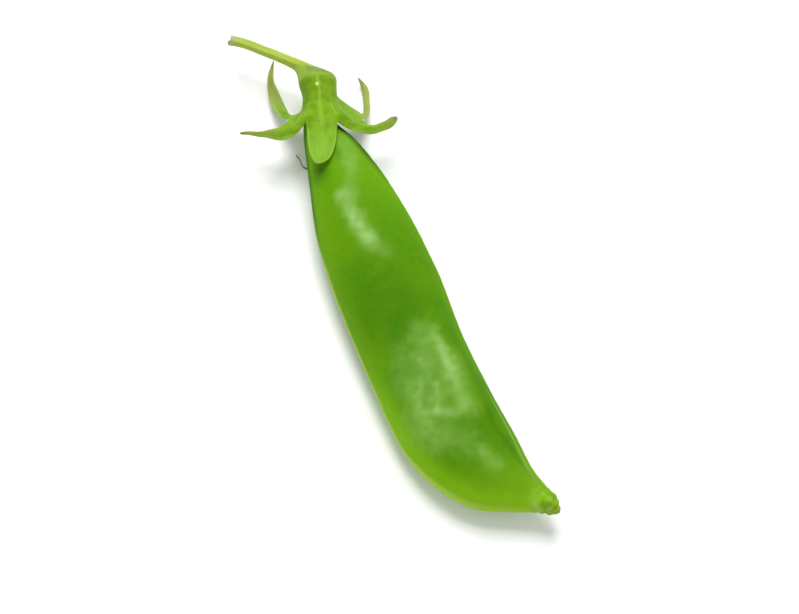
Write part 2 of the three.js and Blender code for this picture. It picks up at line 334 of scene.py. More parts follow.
def strokes(places, ragged):
    """How strongly the strokes cover each point of the skin, with their edges made uneven by ragged."""
    bare = np.ones_like(along)
    for x0, y0, x1, y1, reach, strength in places:
        stroke = np.array([x1 - x0, y1 - y0])
        offset = skin[..., :2] - [x0, y0]
        share = np.clip(offset @ stroke / (stroke @ stroke), 0, 1)
        off = np.linalg.norm(offset - share[..., None] * stroke, axis=2) + ragged
        bare *= 1 - strength * hump(np.maximum(off, 0), reach)
    return 1 - bare


# How much each point lies under the glossy strokes, which also carry the painted highlights.
rubbed = strokes(GLOSS_AND_HIGHLIGHT_STROKES, 0.6 * rough(skin, 2.6, 6) + 0.45 * rough(skin, 0.9, 7))
rubbed = rubbed * (0.9 + 0.3 * rough(skin, 1.5, 8))
crazed = strokes(HIGHLIGHT_LINES, 0.4 * rough(skin, 1.3, 10)) * (0.8 + 0.5 * rough(skin, 1.4, 12))
near_beak = smooth(along, 57, 63) * (1 - smooth(along, 77.5, 80.5))
# A painted highlight line beside the straight seam's lip near the beak as well.
crazed = crazed + 0.5 * near_beak * hump(to_straight - 1.7, 0.4)
# Painted shade and shadow: both seams darkened at the neck where the calyx shades them, the front
# sepal's shadow under its tip, and shade in the hollow beside the straight seam's lip near the beak.
shaded = hump(to_straight, 1.9) * (1 - smooth(along, 9, 22))
shaded += 0.7 * hump(to_bellied, 1.3) * (1 - smooth(along, 14, 26))
upper_face = smooth(skin[..., 2], 1.0, 3.0)
shaded += 0.4 * hump(along - 9.8, 1.9) * hump(skin[..., 1] + 5.2, 1.5) * upper_face
shaded += 0.35 * near_beak * hump(to_straight - np.clip(4.4 - 0.3 * (along - 68), 1.5, 4.6), 0.8)
# Yellower towards the bellied edge, where the flesh is thinner, with painted light there too, as a glow
# that grows towards the beak.
sunned = (1 - smooth(to_bellied, 1, 8.5)) * (0.4 + 0.6 * smooth(along, 38, 64))
# Darker places, with the front sepal's painted shadow among them.
darker = np.zeros_like(along)
for x, y, reach_along, reach_across, strength in DARK_AND_SHADOWED:
    darker = darker + strength * hump(along - x, reach_along) * hump(skin[..., 1] - y, reach_across)
# The bellied seam's cord is pale, and near the beak the pale band widens into a painted sheen along the
# edge.
pale_welt = (1 - smooth(to_bellied, 0.3, 0.9 + 1.8 * smooth(along, 60, 70))) * smooth(along, 18, 28)

creased = np.clip(1.3 * pucker / PUCKER_DEPTH, 0, 1)
pod = closed_mesh("pod_skin", skin, POD_TURN, {
    "rubbed": rubbed,
    "sunned": sunned,
    "creases": creased * 2.0 * rough(skin * [0.55, 1.0, 0.8], 1.0, 13),
    "crazed": crazed,
    "darker": darker,
    "pale_welt": pale_welt,
    "shaded": shaded,
    "along": along,
    "around": around,
    "to_straight": to_straight,
})


def linear(colour):
    """An sRGB hex colour as the linear numbers that a shader takes."""
    parts = [int(colour[i : i + 2], 16) / 255 for i in (1, 3, 5)]
    return [p / 12.92 if p <= 0.04045 else ((p + 0.055) / 1.055) ** 2.4 for p in parts] + [1]


def add(tree, kind, sockets, **settings):
    """Adds a shader node. A socket takes a value, or a link given as (node, output)."""
    made = tree.nodes.new("ShaderNode" + kind)
    for name, value in settings.items():
        setattr(made, name, value)
    for name, value in sockets.items():
        socket = next(s for s in made.inputs if s.identifier == name)
        if isinstance(value, tuple):
            output = next(o for o in value[0].outputs if o.identifier == value[1])
            tree.links.new(output, socket)
        else:
            socket.default_value = value
    return made


def blank_material(name):
    """A material with no nodes yet, and its node tree."""
    made = bpy.data.materials.new(name)
    made.use_nodes = True
    made.node_tree.nodes.clear()
    return made, made.node_tree


def tinted(tree, colour, tints):
    """Lays tints over the colour, one after another. Each is (mark, its value where the tint starts,
    its value where the tint is full, the strength there, hex colour)."""
    for mark, start, full, strength, tint in tints:
        mask = add(tree, "MapRange", {"Value": mark, "From Min": start, "From Max": full,
                                      "To Min": 0.0, "To Max": strength}, interpolation_type="SMOOTHSTEP")
        mixed = add(tree, "Mix", {"Factor_Float": (mask, "Result"), "A_Color": colour,
                                  "B_Color": linear(tint)}, data_type="RGBA")
        colour = (mixed, "Result_Color")
    return colour


# Waxy pea skin: a thin clear cuticle over juicy green cells. It looks satin and mottled, paler and
# yellower along the seams, dull where the bloom is whole and glossy where handling wore it off. Its
# colour also holds painted light: painted highlights over the glossy strokes and near the bellied edge,
# and painted shade and shadow at the neck, under the front sepal and in a hollow by the beak.
PATCH_SIZE = 11  # mm across the light and dark patches
YELLOW_SIZE = 5  # mm across the small spots that ripen first
CELL_SIZE = 0.8  # mm: real cells are ten times finer and wouldn't show
NET_SIZE = 1.5  # mm between the finest veins
NET_SLANT = 0.75  # radians
BEND_SIZE = 1.25  # mm across the bends that keep the veins from running straight
DULL = 0.66  # roughness of the whole bloom
GLOSSY = 0.3  # roughness where the bloom was worn off, under the painted highlights
pea_skin, tree = blank_material("waxy_pea_skin")
labels = ("along", "around", "to_straight", "rubbed", "sunned", "creases", "crazed", "darker", "pale_welt",
          "shaded")
marks = {label: (add(tree, "Attribute", {}, attribute_name=label), "Fac") for label in labels}
skin_mm = add(tree, "CombineXYZ", {"X": marks["along"], "Y": marks["around"]})
patches = add(tree, "TexNoise", {"Vector": (skin_mm, "Vector"), "Scale": 1 / PATCH_SIZE, "Detail": 3.0})
cells = add(tree, "TexNoise", {"Vector": (skin_mm, "Vector"), "Scale": 1 / CELL_SIZE, "Detail": 3.0})
bends = add(tree, "TexNoise", {"Vector": (skin_mm, "Vector"), "Scale": 1 / BEND_SIZE, "Detail": 2.0})
bent = add(tree, "VectorMath", {"Vector": (skin_mm, "Vector"), "Vector_001": (bends, "Color")},
           operation="ADD")
slanted = add(tree, "Mapping", {"Vector": (bent, "Vector"), "Rotation": [0, 0, NET_SLANT],
                                "Scale": [0.6, 1.0, 1]})
net = add(tree, "TexVoronoi", {"Vector": (slanted, "Vector"), "Scale": 1 / NET_SIZE},
          feature="DISTANCE_TO_EDGE")
yellowing = add(tree, "TexNoise", {"Vector": (bent, "Vector"), "Scale": 1 / YELLOW_SIZE, "Detail": 3.0})
veins = add(tree, "MapRange", {"Value": (net, "Distance"), "From Min": 0.0, "From Max": 0.2,
                               "To Min": 1.0, "To Max": 0.0}, interpolation_type="SMOOTHSTEP")
green = tinted(tree, linear("#457e02"), (
    ((patches, "Fac"), 0.36, 0.64, 0.7, "#568a01"),
    ((yellowing, "Fac"), 0.54, 0.72, 0.3, "#6e920a"),
    ((veins, "Result"), 0.0, 1.0, 0.1, "#6c9c10"),
    ((cells, "Fac"), 0.5, 0.75, 0.2, "#5f9404"),
    (marks["to_straight"], 4.0, 0.8, 0.5, "#5f9403"),
    # Yellower bellied edge, partly painted glow.
    (marks["sunned"], 0.0, 0.9, 0.85, "#7fb80c"),
    (marks["to_straight"], 0.9, 0.3, 0.6, "#9cbc40"),
    # Pale bellied cord, widening into a painted sheen near the beak.
    (marks["pale_welt"], 0.0, 1.0, 0.8, "#accc50"),
    (marks["along"], 37.0, 10.0, 0.65, "#6aa008"),
    # Darker places and painted shadow.
    (marks["darker"], 0.1, 0.9, 0.4, "#336c00"),
    # Painted highlights: pale tints over the glossy strokes.
    (marks["rubbed"], 0.0, 1.0, 0.6, "#88b452"),
    (marks["rubbed"], 0.6, 1.2, 0.35, "#b2d29c"),
    # Painted highlight lines.
    (marks["crazed"], 0.0, 0.8, 0.5, "#a2ca78"),
    (marks["along"], 68.0, 82.0, 0.6, "#86b41a"),
    (marks["creases"], 0.1, 0.9, 0.5, "#a9c860"),
    (marks["creases"], -0.1, -0.8, 0.5, "#55801c"),
    (marks["along"], 80.5, 83.9, 0.6, "#66762a"),
    # Painted shade and shadow at the neck's seams, under the front sepal's tip and by the beak's seam.
    (marks["shaded"], 0.0, 1.0, 0.85, "#1f4a04"),
))
gloss = add(tree, "MapRange", {"Value": marks["rubbed"], "From Min": 0.0, "From Max": 1.0,
                               "To Min": DULL, "To Max": GLOSSY})
uneven = add(tree, "Math", {"Value": (cells, "Fac"), "Value_001": 0.12, "Value_002": (gloss, "Result")},
             operation="MULTIPLY_ADD")
vein_bump = add(tree, "Bump", {"Height": (veins, "Result"), "Strength": 0.3, "Distance": 0.03 * MM})
cell_bump = add(tree, "Bump", {"Height": (cells, "Fac"), "Strength": 0.5, "Distance": 0.06 * MM,
                               "Normal": (vein_bump, "Normal")})
body = add(tree, "BsdfPrincipled", {
    "Base Color": green,
    "Roughness": (uneven, "Value"),
    "IOR": 1.33,
    "Specular IOR Level": 0.13,
    "Normal": (cell_bump, "Normal"),
    "Subsurface Weight": 0.12,
    "Subsurface Radius": [0.6, 1.0, 0.15],
    "Subsurface Scale": 1.2 * MM,
})
add(tree, "OutputMaterial", {"Surface": (body, "BSDF")})
pod.data.materials.append(pea_skin)
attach(pod, "root")
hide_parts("pod")

# ---- Calyx cup ---------------------------------
# The calyx is a short leafy cup with five lobes, bent over from the pod's own line. The cup is thin
# and ribbed, a strong rib for each lobe and a weak one between, and the pod's neck stands in it.

CALYX_BEND = 29  # degrees between the cup's axis and the pod
CUP_DEPTH = 8.3
CUP_SHIFT = 0.8
CUP_RIM = 6.2
CUP_RADIUS = 3.3
CUP_WALL = 0.55
CUP_FLOOR = 1.6
CUP_ROWS = 110
CUP_SIDES = 180
LOBE_AZIMUTHS = [0, 72, 140, 220, 288]  # from straight up towards the bellied side
RIB_REACH = 0.42
RIB_RISE = 0.16
RIB_DIP = 0.3  # the wall between ribs dips by this share of their rise
CUP_LEAN = -0.45  # how far the rim stands to one side of the foot
CUP_LUMPS = 0.05  # height of the lumps low on the wall, 1.6 mm across
KNOB = [0.05, 2.95, 3.45]  # the middle of a small knob by the top rib, painted pale as a glint
KNOB_REACH = 0.5
KNOB_RISE = 0.12
OFF_MARGIN = 2.0  # painted where the skin is far from any margin of a lobe

CALYX_TURN = turn("Z", -90 - CALYX_BEND)
CALYX_PLACE = turn("Z", -CALYX_BEND) @ np.array([-CUP_DEPTH, -CUP_SHIFT, 0])


def from_cup(points):
    """Cup axes, with +y from the cup's foot to its rim and +x to the bellied side, to plant axes."""
    return points @ CALYX_TURN.T + CALYX_PLACE


# The cup bulges at its shoulder and draws in to a waist below the rim, where it leans to one side.
inside = CUP_RADIUS - CUP_WALL
cup_profile = [
    [0.3, -0.1],
    [CUP_RADIUS * 0.6, 0.0],
    [CUP_RADIUS * 0.9, 0.25],
    [CUP_RADIUS * 1.01, 0.9],
    [CUP_RADIUS * 1.04, 1.8],
    [CUP_RADIUS * 0.99, CUP_RIM * 0.45],
    [CUP_RADIUS * 0.96, CUP_RIM * 0.7],
    [CUP_RADIUS * 0.962, CUP_RIM * 0.88],
    [CUP_RADIUS * 0.975, CUP_RIM],
    [CUP_RADIUS * 0.97, CUP_RIM + 0.5],
    [CUP_RADIUS * 0.93, CUP_RIM + 0.6],
    [inside * 1.06, CUP_RIM + 0.3],
    [inside, CUP_RIM * 0.7],
    [inside * 0.9, CUP_FLOOR + 0.6],
    [inside * 0.55, CUP_FLOOR],
    [0.2, CUP_FLOOR],
]
climb = np.linspace(0, 1, CUP_ROWS)
outline = through([[r, y, 0] for r, y in cup_profile], climb)
azimuths = np.arange(CUP_SIDES) / CUP_SIDES * 2 * math.pi


def cup_ribs(bearings):
    """How strongly a rib stands at each bearing: one for each lobe and weaker ones between."""
    ribs = np.zeros_like(bearings)
    for lobe, following in zip(LOBE_AZIMUTHS, LOBE_AZIMUTHS[1:] + [LOBE_AZIMUTHS[0] + 360]):
        between = (lobe + following) / 2
        for azimuth, strength in (
            (lobe, 1),
            (between, 0.55),
            ((lobe + between) / 2, 0.3),
            ((following + between) / 2, 0.3),
        ):
            apart = np.angle(np.exp(1j * (bearings - math.radians(azimuth)))) * CUP_RADIUS
            ribs = ribs + strength * hump(apart, RIB_REACH)
    return ribs


def flank(bearings, heights):
    """Painted shade: a darker strip down each side of the calyx, which fades out at its foot and past its
    rim.
    """
    side = np.sin(bearings)
    strip = hump(side - 0.8, 0.35) + 0.45 * hump(side + 0.8, 0.35)
    return strip * smooth(heights, 0.3, 2) * (1 - smooth(heights, 5.6, 9.2))


ribs = cup_ribs(azimuths)
outer = smooth(climb, 0.05, 0.2) * (1 - smooth(climb, 0.62, 0.68))
near_rim = smooth(outline[:, 1], CUP_RIM * 0.6, CUP_RIM)
radius = outline[:, 0][:, None] + outer[:, None] * RIB_RISE * (ribs - RIB_DIP)
height = np.broadcast_to(outline[:, 1][:, None], radius.shape)
cup_rings = np.stack([radius * np.sin(azimuths), height, radius * np.cos(azimuths)], 2)
cup_rings[..., 0] += CUP_LEAN * smooth(height, 1.2, 4.8)
lumps = CUP_LUMPS * outer[:, None] * (1 - smooth(height, 3.4, 5.0))
cup_rings = cup_rings + outward(cup_rings) * (rough(cup_rings, 1.6, 11) * lumps)[..., None]
# The knob bulges the wall and carries a painted glint.
knob = hump(np.linalg.norm(cup_rings - KNOB, axis=2), KNOB_REACH)
cup_rings = cup_rings + outward(cup_rings) * (KNOB_RISE * knob)[..., None]
cup = closed_mesh("calyx_cup_leaf", from_cup(cup_rings), AS_IT_RESTS, {
    "share": near_rim[:, None] * 0.1,
    "margin": OFF_MARGIN,
    "rib": ribs * outer[:, None],
    "knob": knob,
    "fold": 0.0,
    "flank": flank(azimuths, height),
    "round_x": CUP_RADIUS * np.sin(azimuths),
    "round_z": CUP_RADIUS * np.cos(azimuths),
    "along": height,
})


LEAF_STREAK = 0.6  # mm between the fine streaks: real ones are closer and wouldn't show
LEAF_PATCH = 1.7  # mm across the darker patches between the veins
LEAF_EDGE = "#98c234"
LEAF_RIB = "#90bc2c"


def leaf_material(name, green, tip, tip_start):
    """Calyx leaf: soft and matt with hardly a shine, patchy green, with paler ribs and margins, painted
    shade down each side and a painted glint on the cup's knob. Its tip has dried to the tip colour from
    tip_start, as a share of the lobe's length."""
    leaf, tree = blank_material(name)
    labels = ("share", "margin", "rib", "fold", "round_x", "round_z", "along", "flank", "knob")
    marks = {label: (add(tree, "Attribute", {}, attribute_name=label), "Fac") for label in labels}
    leaf_mm = add(tree, "CombineXYZ", {"X": marks["round_x"], "Y": marks["along"], "Z": marks["round_z"]})
    streaked = add(tree, "Mapping", {"Vector": (leaf_mm, "Vector"), "Scale": [1.0, 0.3, 1]})
    streaks = add(tree, "TexNoise", {"Vector": (streaked, "Vector"), "Scale": 1 / LEAF_STREAK,
                                     "Detail": 3.0})
    patches = add(tree, "TexNoise", {"Vector": (leaf_mm, "Vector"), "Scale": 1 / LEAF_PATCH, "Detail": 3.0})
    fresh = tip_start > 0.9
    blade_green = tinted(tree, linear(green), (
        ((patches, "Fac"), 0.42, 0.68, 0.65, "#5b850a"),
        ((streaks, "Fac"), 0.5, 0.8, 0.3, LEAF_EDGE),
        (marks["rib"], 0.3, 1.0, 0.45, LEAF_RIB),
        (marks["margin"], 0.6, 0.1, 0.55, LEAF_EDGE),
        # Painted shade down each side of the calyx.
        (marks["flank"], 0.0, 1.0, 0.6, "#527a06"),
        (marks["fold"], 0.1, 0.9, 0.55, "#a6cc48"),
        (marks["share"], 0.35, 0.85, 0.5 if fresh else 0.0, "#8fc040"),
        (marks["share"], tip_start, min(tip_start + 0.35, 1.0), 0.85, tip),
        (marks["share"], 0.88, 1.0, 0.0 if fresh else 0.7, "#6c6a48"),
        # A painted glint on the small knob.
        (marks["knob"], 0.3, 0.9, 0.8, "#cfe88a"),
    ))
    bump = add(tree, "Bump", {"Height": (streaks, "Fac"), "Strength": 0.6, "Distance": 0.08 * MM})
    body = add(tree, "BsdfPrincipled", {
        "Base Color": blade_green,
        "Roughness": 0.55,
        "IOR": 1.42,
        "Specular IOR Level": 0.15,
        "Normal": (bump, "Normal"),
        "Subsurface Weight": 0.15,
        "Subsurface Radius": [0.6, 1.0, 0.15],
        "Subsurface Scale": 0.8 * MM,
    })
    add(tree, "OutputMaterial", {"Surface": (body, "BSDF")})
    return leaf


cup.data.materials.append(leaf_material("fresh_calyx_leaf", "#739a10", "#8f9a4e", 0.98))
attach(cup, "root")
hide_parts("calyx_cup")

# ---- Sepals ------------------------------------
# Five leafy lobes stand on the cup's rim, each a thin boat-shaped blade with a midrib. They stay joined
# for a few millimetres, so the cup's mouth flares like a funnel. One lies on the pod, and the other
# four bend away, curl and have dried to grey-brown at their tips.

# The five lobes as they follow one another round the rim. Path is the middle line in cup axes, with y
# from the rim, as [x, y, z, width]. Azimuth is where the lobe stands on the rim, in degrees. Twist is
# how far its blade is turned near the rim and at the tip, and wave how high its margins ruffle. Web is
# how far it stays joined to the next lobe, and fold how strongly that joint is creased. Dry is where
# along the lobe its tip starts to dry, and tip the colour that it dries to.
SEPALS = {
    "sepal_front": dict(
        azimuth=0, twist=[0, 0], wave=0.12, web=3.4, fold=0.45, dry=0.97, tip="#8f9a4e",
        path=[
            [-0.4, 0.0, 2.97, 3.6],
            [-0.6, 1.5, 3.4, 4.3],
            [-0.8, 3.6, 4.1, 5.0],
            [-0.9, 6.2, 4.5, 5.3],
            [-0.9, 8.7, 4.8, 5.0],
            [-0.7, 11.2, 5.1, 3.9],
            [-0.1, 13.3, 5.0, 2.1],
        ],
    ),
    "sepal_left_lower": dict(
        azimuth=72, twist=[-50, -80], wave=0.2, web=3.2, fold=0, dry=0.45, tip="#808e3c",
        path=[
            [2.4, 0.0, 0.9, 3.4],
            [2.6, 1.2, 1.1, 3.4],
            [3.1, 2.8, 1.4, 3.5],
            [4.2, 4.2, 1.6, 3.6],
            [6.0, 5.1, 1.5, 3.4],
            [7.6, 5.3, 1.2, 2.7],
            [9.7, 5.3, 0.8, 1.8],
            [11.8, 5.1, 0.4, 1.0],
            [14.0, 5.0, 0.2, 0.5],
        ],
    ),
    "sepal_left_upper": dict(
        azimuth=140, twist=[0, -25], wave=0.2, web=1.5, fold=0, dry=0.35, tip="#98a456",
        path=[
            [1.5, -0.8, -2.3, 3.3],
            [2.2, -0.1, -2.8, 3.3],
            [3.6, 0.1, -3.5, 3.2],
            [5.4, -0.6, -4.5, 3.1],
            [6.9, -2.6, -5.4, 2.8],
            [7.9, -5.1, -6.2, 2.4],
            [8.8, -8.1, -6.8, 1.6],
            [9.0, -10.3, -6.8, 1.1],
            [8.5, -13.0, -6.2, 0.5],
        ],
    ),
    "sepal_right_upper": dict(
        azimuth=228, twist=[0, 15], wave=0.2, web=6.0, fold=0, dry=0.3, tip="#98a456",
        path=[
            [-2.4, -4.2, -2.0, 3.3],
            [-3.2, -3.2, -2.5, 3.3],
            [-4.7, -2.1, -3.2, 3.4],
            [-6.4, -1.2, -4.1, 3.2],
            [-7.8, -0.8, -5.0, 2.6],
            [-8.6, -1.8, -5.8, 1.9],
            [-8.6, -4.5, -6.6, 1.5],
            [-8.5, -6.9, -7.0, 1.3],
            [-7.3, -9.4, -6.6, 0.5],
        ],
    ),
    "sepal_right": dict(
        azimuth=288, twist=[55, 80], wave=0.2, web=4.2, fold=1, dry=0.55, tip="#84923a",
        path=[
            [-3.2, -1.5, 0.9, 3.6],
            [-3.6, -0.1, 1.1, 3.8],
            [-4.6, 1.6, 1.3, 4.0],
            [-5.9, 3.0, 1.3, 3.6],
            [-7.4, 3.9, 1.2, 3.1],
            [-8.9, 4.4, 1.0, 2.3],
            [-10.6, 4.5, 0.9, 1.8],
            [-12.3, 3.9, 1.2, 2.1],
            [-13.4, 3.3, 1.5, 2.4],
            [-14.4, 2.8, 1.8, 1.9],
        ],
    ),
}
SEPAL_THICKNESS = 0.5
SEPAL_EDGE = 0.22
SEPAL_CUPPING = 0.16
SEPAL_ROWS = 120
SEPAL_COLUMNS = 36
FREE_RUN = 3.0  # past the web a lobe takes this far to become a free blade
WEB_OVERLAP = 0.1  # joined lobes lap by this share of their half width
ROOT_ROWS = 8
ROOT_DEPTH = 2.2  # how far the lobe runs down inside the cup's wall
ROOT_TAPER = 0.12
FOLD_RISE = 0.14
MIDRIB_REACH = 0.3
MIDRIB_RISE = [0.16, 0.1]  # on the outside and on the inside
RUFFLES = [13, 29]  # radians of ruffle from rim to tip, coarse and fine
SIDE_VEIN_PITCH = 1.1
SIDE_VEIN_RISE = 0.02


def meridian(shape, reach):
    """Radius from the cup's axis, height over the rim and bearing of a lobe's middle, at each distance
    along it from the rim."""
    shares = np.linspace(0, 1, FINE_STEPS)
    line = through([p[:3] for p in shape["path"]], shares)
    run = np.concatenate([[0], np.cumsum(np.linalg.norm(np.diff(line, axis=0), axis=1))])
    at = np.stack([np.interp(reach, run, line[:, i]) for i in range(3)], 1)
    home = math.radians(shape["azimuth"])
    bearing = home + np.angle(np.exp(1j * (np.arctan2(at[:, 0], at[:, 2]) - home)))
    return np.stack([np.hypot(at[:, 0], at[:, 2]), at[:, 1], bearing], 1)


def blade_line(shape, shares):
    """A lobe's middle line at shares of its length: the places, their distance from the rim, the width,
    and the directions across the blade and out of its outer face."""
    path = shape["path"]
    centre = through([p[:3] for p in path], shares)
    run = np.concatenate([[0], np.cumsum(np.linalg.norm(np.diff(centre, axis=0), axis=1))])
    ahead = through([p[:3] for p in path], np.minimum(shares + 1e-4, 1))
    behind = through([p[:3] for p in path], np.maximum(shares - 1e-4, 0))
    along = (ahead - behind) / np.linalg.norm(ahead - behind, axis=1)[:, None]
    width = eased([p[3] for p in path], shares) * np.sqrt(1 - np.clip((shares - 0.88) / 0.1205, 0, 1) ** 2)
    a = math.radians(shape["azimuth"])
    across = np.array([-math.cos(a), 0, math.sin(a)])
    side = across - along * (along @ across)[:, None]
    side /= np.linalg.norm(side, axis=1)[:, None]
    turned = np.radians(np.interp(smooth(shares, 0.1, 0.9), [0, 1], shape["twist"]))[:, None]
    side = side * np.cos(turned) + np.cross(along, side) * np.sin(turned)
    return centre, run, width, side, np.cross(along, side)


def web_sheet(shape, before, after, run, across):
    """The surface that joins a lobe to its neighbours, which swings from this lobe's middle line to
    theirs: the radius, height and bearing of each point. Across is 1 or -1 halfway to a neighbour."""
    own, ahead_of, behind_of = [meridian(s, run)[:, None] for s in (shape, before, after)]
    ahead_of[..., 2] = own[..., 2] - np.abs(np.angle(np.exp(1j * (ahead_of[..., 2] - own[..., 2]))))
    behind_of[..., 2] = own[..., 2] + np.abs(np.angle(np.exp(1j * (behind_of[..., 2] - own[..., 2]))))
    neighbour = np.where((across > 0)[..., None], ahead_of, behind_of)
    swing = np.sin(np.abs(across) * math.pi / 4) ** 2
    swung = own + (neighbour - own) * np.stack([swing, swing, np.abs(across) / 2], 2)
    return swung[..., 0], swung[..., 1], swung[..., 2]


def sepal_rings(shape, before, after):
    """Rings round a lobe, from its root in the cup's wall to its tip, with the paint for each point.
    Before and after are its neighbours on the rim."""
    shares = np.linspace(0, 1, SEPAL_ROWS)
    centre, run, width, side, out = blade_line(shape, shares)
    share = shares[:, None]
    off_rim = run[:, None]
    width = width[:, None]
    half = width / 2

    # Round each ring, v runs from 1 to -1 over the outer face and back over the inner one.
    column = np.concatenate([np.linspace(1, -1, SEPAL_COLUMNS), np.linspace(-1, 1, SEPAL_COLUMNS)[1:-1]])
    face = np.concatenate([np.ones(SEPAL_COLUMNS), -np.ones(SEPAL_COLUMNS - 2)])
    v = np.sin(column * math.pi / 2) * 0.5 + column * 0.5
    web = shape["web"] + (before["web"] - shape["web"]) * smooth(v, -0.5, 0.5)
    joined = 1 - smooth(off_rim, web, web + FREE_RUN)
    thin = SEPAL_EDGE * np.sqrt(np.clip(1 - np.abs(v) ** 6, 0, 1))
    thin = thin + (SEPAL_THICKNESS - SEPAL_EDGE) * (1 - v * v)
    thick = SEPAL_THICKNESS * np.sqrt(1 - np.clip((np.abs(v) - 0.85) / 0.15, 0, 1) ** 2)
    skin = thin + (thick - thin) * joined

    # The free blade is cupped, with a midrib, side veins and ruffled margins.
    rib = hump(v * half, MIDRIB_REACH) * (1 - share * 0.6)
    lift = -SEPAL_CUPPING * width * v**2 + face * skin / 2 * (1 - 0.5 * share**4)
    lift = lift + rib * np.where(face > 0, MIDRIB_RISE[0], MIDRIB_RISE[1])
    a = math.radians(shape["azimuth"])
    ruffle = np.sin(share * RUFFLES[0] + a * 57 + 1.3 * np.sign(v))
    ruffle = ruffle + 0.5 * np.sin(share * RUFFLES[1] + a * 100)
    lift = lift + shape["wave"] * v**2 * ruffle * smooth(share, 0.05, 0.3)
    side_veins = np.cos((off_rim - np.abs(v) * half * 0.9) / SIDE_VEIN_PITCH * 2 * math.pi)
    lift = lift + SIDE_VEIN_RISE * side_veins * smooth(np.abs(v), 0.1, 0.3) * (1 - np.abs(v))
    leaf = centre[:, None] + side[:, None] * (v * half)[..., None] + out[:, None] * lift[..., None]

    # The joined part carries the cup's ribs on, and is creased where two lobes meet.
    radius, height, bearing = web_sheet(shape, before, after, run, v * (1 + WEB_OVERLAP * joined))
    sheet = np.stack([radius * np.sin(bearing), height, radius * np.cos(bearing)], 2)
    round_rim = np.stack([np.cos(bearing), 0 * bearing, -np.sin(bearing)], 2)
    leaving = np.cross(np.gradient(sheet, axis=0), round_rim)
    leaving /= np.linalg.norm(leaving, axis=2, keepdims=True)
    gaps = np.where(v > 0, before["azimuth"] - shape["azimuth"], shape["azimuth"] - after["azimuth"])
    rib_place = cup_ribs(np.radians(shape["azimuth"] + (gaps + 540) % 360 * v / 2 - 90 * v))
    relief = (face > 0) * RIB_RISE * (rib_place - RIB_DIP) * (1 - 0.5 * smooth(off_rim, 0, 4))
    folded = np.where(v > 0, before["fold"], shape["fold"])
    fold = folded * hump((1 - np.abs(v)) * half, 0.3) * smooth(off_rim, 0.2, 1.6)
    relief = relief + (face > 0) * FOLD_RISE * fold
    wall = sheet + leaving * (face * skin / 2 + relief)[..., None]
    leaf = wall * joined[..., None] + leaf * (1 - joined[..., None])

    # The root runs down inside the cup's wall.
    sink = np.linspace(1, 0, ROOT_ROWS, endpoint=False)[:, None]
    blank = 0 * sink * v
    reach = radius[0] - ROOT_TAPER * sink + face * skin[0] / 2 * (1 - 0.6 * sink) + relief[0]
    down_wall = height[0] - ROOT_DEPTH * sink
    root = np.stack([reach * np.sin(bearing[0]), down_wall, reach * np.cos(bearing[0])], 2)
    rings = np.vstack([root, leaf]) + [0, CUP_RIM, 0]

    # The leaf's pattern is laid round the axis near the rim, and across each blade further out.
    flat = a - v * half / CUP_RADIUS
    opened = flat + (bearing - flat) * (1 - smooth(off_rim, 0, 6))
    opened = np.vstack([blank + opened[0], opened])
    ribs = rib * (1 - joined) + rib_place * joined
    climbed = np.vstack([down_wall, height[0] + off_rim]) + CUP_RIM

    paint = {
        "share": np.vstack([0 * sink, share]),
        "margin": np.vstack([blank + OFF_MARGIN, (1 - np.abs(v)) * half + OFF_MARGIN * joined]),
        "rib": np.vstack([blank + ribs[0], ribs]),
        "fold": np.vstack([blank, fold * (1 - smooth(off_rim, web - 0.5, web + 0.8))]),
        "flank": flank(opened, climbed),
        "knob": 0.0,
        "round_x": CUP_RADIUS * np.sin(opened),
        "round_z": CUP_RADIUS * np.cos(opened),
        "along": climbed,
    }
    return rings, paint


lobes = list(SEPALS.values())
for place, (name, shape) in enumerate(SEPALS.items()):
    rings, paint = sepal_rings(shape, lobes[place - 1], lobes[(place + 1) % len(lobes)])
    sepal = closed_mesh(name + "_blade", from_cup(rings), AS_IT_RESTS, paint)
    sepal.data.materials.append(leaf_material(name + "_leaf", "#739e0e", shape["tip"], shape["dry"]))
    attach(sepal, "root")
    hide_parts(name)

# ---- Stalk -------------------------------------
# The stalk is a ridged green stem that swells into the cup's foot. It was picked by hand, so its free
# end is a rough, slightly crushed break that has dried grey.

# Stations from where the swollen foot laps over the cup to the broken end, in cup axes, each
# [outer edge x, y, inner edge x, y, middle z, half depth].
STALK_STATIONS = [
    [-3.25, 2.2, 2.95, 2.9, 0.0, 3.1],
    [-3.38, 1.5, 3.26, 2.1, 0.0, 3.33],
    [-3.48, 0.8, 3.47, 1.3, 0.0, 3.46],
    [-3.3, 0.1, 3.58, 0.5, 0.0, 3.3],
    [-2.7, -0.35, 3.7, -0.3, 0.0, 2.8],
    [-1.3, -1.1, 3.95, -1.1, 0.0, 2.2],
    [0.6, -2.0, 4.4, -1.75, 0.0, 1.75],
    [2.5, -3.0, 5.1, -2.2, 0.0, 1.4],
    [4.6, -4.0, 6.0, -2.7, 0.1, 1.1],
    [6.9, -5.1, 7.7, -3.5, 0.1, 0.95],
    [9.3, -6.2, 10.0, -4.6, 0.0, 0.9],
    [13.2, -8.1, 13.9, -6.5, -0.4, 0.88],
    [15.8, -9.0, 16.5, -7.2, -0.6, 1.0],
]
STALK_ROWS = 150
STALK_SIDES = 60
STALK_RIDGES = 5
STALK_RIDGE_RISE = 0.09
STALK_TWIST = 1.2  # radians that the ridges wind from the foot to the broken end
STALK_LENGTH = 20
STALK_LUMPS = 0.05  # height of the rind's lumps, 1.8 mm across
BREAK_RAGGED = 0.35  # how far torn fibres stand past one another at the break
FOOT_SHADE_FACING = [-0.81, 0.46, 0.37]  # the foot is painted darker, as painted shade, on the side that faces this way

